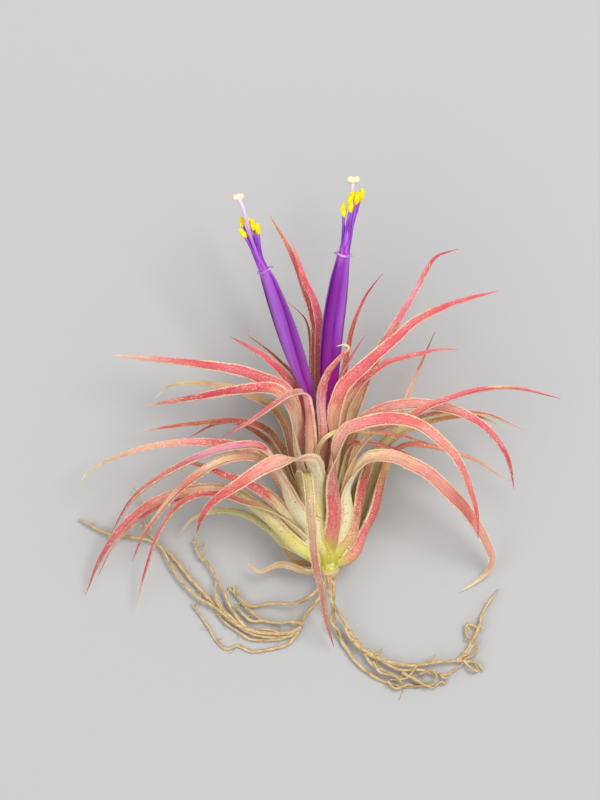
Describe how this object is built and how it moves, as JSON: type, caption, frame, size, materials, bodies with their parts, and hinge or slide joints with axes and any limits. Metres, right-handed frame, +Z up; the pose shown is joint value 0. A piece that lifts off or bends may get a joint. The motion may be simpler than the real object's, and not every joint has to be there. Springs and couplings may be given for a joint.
{
  "type": "air plant",
  "caption": "Small air plant in bloom, lying as picked: a loose rosette of channelled pink leaves, violet tubular flowers with yellow anthers, and straw-coloured roots.",
  "frame": {"origin": "on the surface that the plant lies on, below the middle of its outline", "axes": "+Y along the plant from its roots to its flowers, +Z up out of the open side of the rosette, +X to the right seen from above with the flowers away from the viewer"},
  "size_m": [0.1209, 0.1282, 0.0477],
  "materials": {
    "stem": "matte",
    "leaf_pink": "matte",
    "leaf_green": "matte",
    "leaf_dry": "matte",
    "petal": "satin",
    "filament": "satin",
    "anther": "matte",
    "style": "satin",
    "root": "matte"
  },
  "bodies": {
    "root": {"stem": "stem", "flower_right_corolla": "petal", "flower_right_stamens": "filament", "flower_right_pistil": "style", "flower_left_corolla": "petal", "flower_left_stamens": "filament", "flower_left_pistil": "style", "leaf_front_1": "leaf_pink", "leaf_front_2": "leaf_pink", "leaf_front_3": "leaf_pink", "leaf_front_4": "leaf_pink", "leaf_front_5": "leaf_pink", "leaf_front_6": "leaf_pink", "leaf_front_7": "leaf_green", "leaf_left_1": "leaf_pink", "leaf_left_2": "leaf_pink", "leaf_left_3": "leaf_green", "leaf_left_4": "leaf_pink", "leaf_left_5": "leaf_dry", "leaf_left_6": "leaf_pink", "leaf_left_7": "leaf_pink", "leaf_left_8": "leaf_pink", "leaf_left_9": "leaf_pink", "leaf_left_10": "leaf_green", "leaf_left_11": "leaf_pink", "leaf_left_12": "leaf_pink", "leaf_left_13": "leaf_green", "leaf_left_14": "leaf_green", "leaf_left_15": "leaf_dry", "leaf_top_1": "leaf_pink", "leaf_top_2": "leaf_pink", "leaf_top_3": "leaf_dry", "leaf_top_4": "leaf_pink", "leaf_top_5": "leaf_pink", "leaf_right_1": "leaf_pink", "leaf_right_2": "leaf_pink", "leaf_right_3": "leaf_pink", "leaf_right_4": "leaf_dry", "leaf_right_5": "leaf_pink", "leaf_right_6": "leaf_pink", "leaf_right_7": "leaf_pink", "leaf_right_8": "leaf_pink", "leaf_right_9": "leaf_pink", "leaf_right_10": "leaf_dry", "leaf_dry_1": "leaf_dry", "leaf_dry_2": "leaf_dry", "leaf_back_1": "leaf_green", "leaf_back_2": "leaf_green", "leaf_back_3": "leaf_green", "leaf_back_4": "leaf_green", "leaf_back_5": "leaf_green", "leaf_back_6": "leaf_green", "roots_left": "root", "roots_right": "root"}
  },
  "joints": []
}
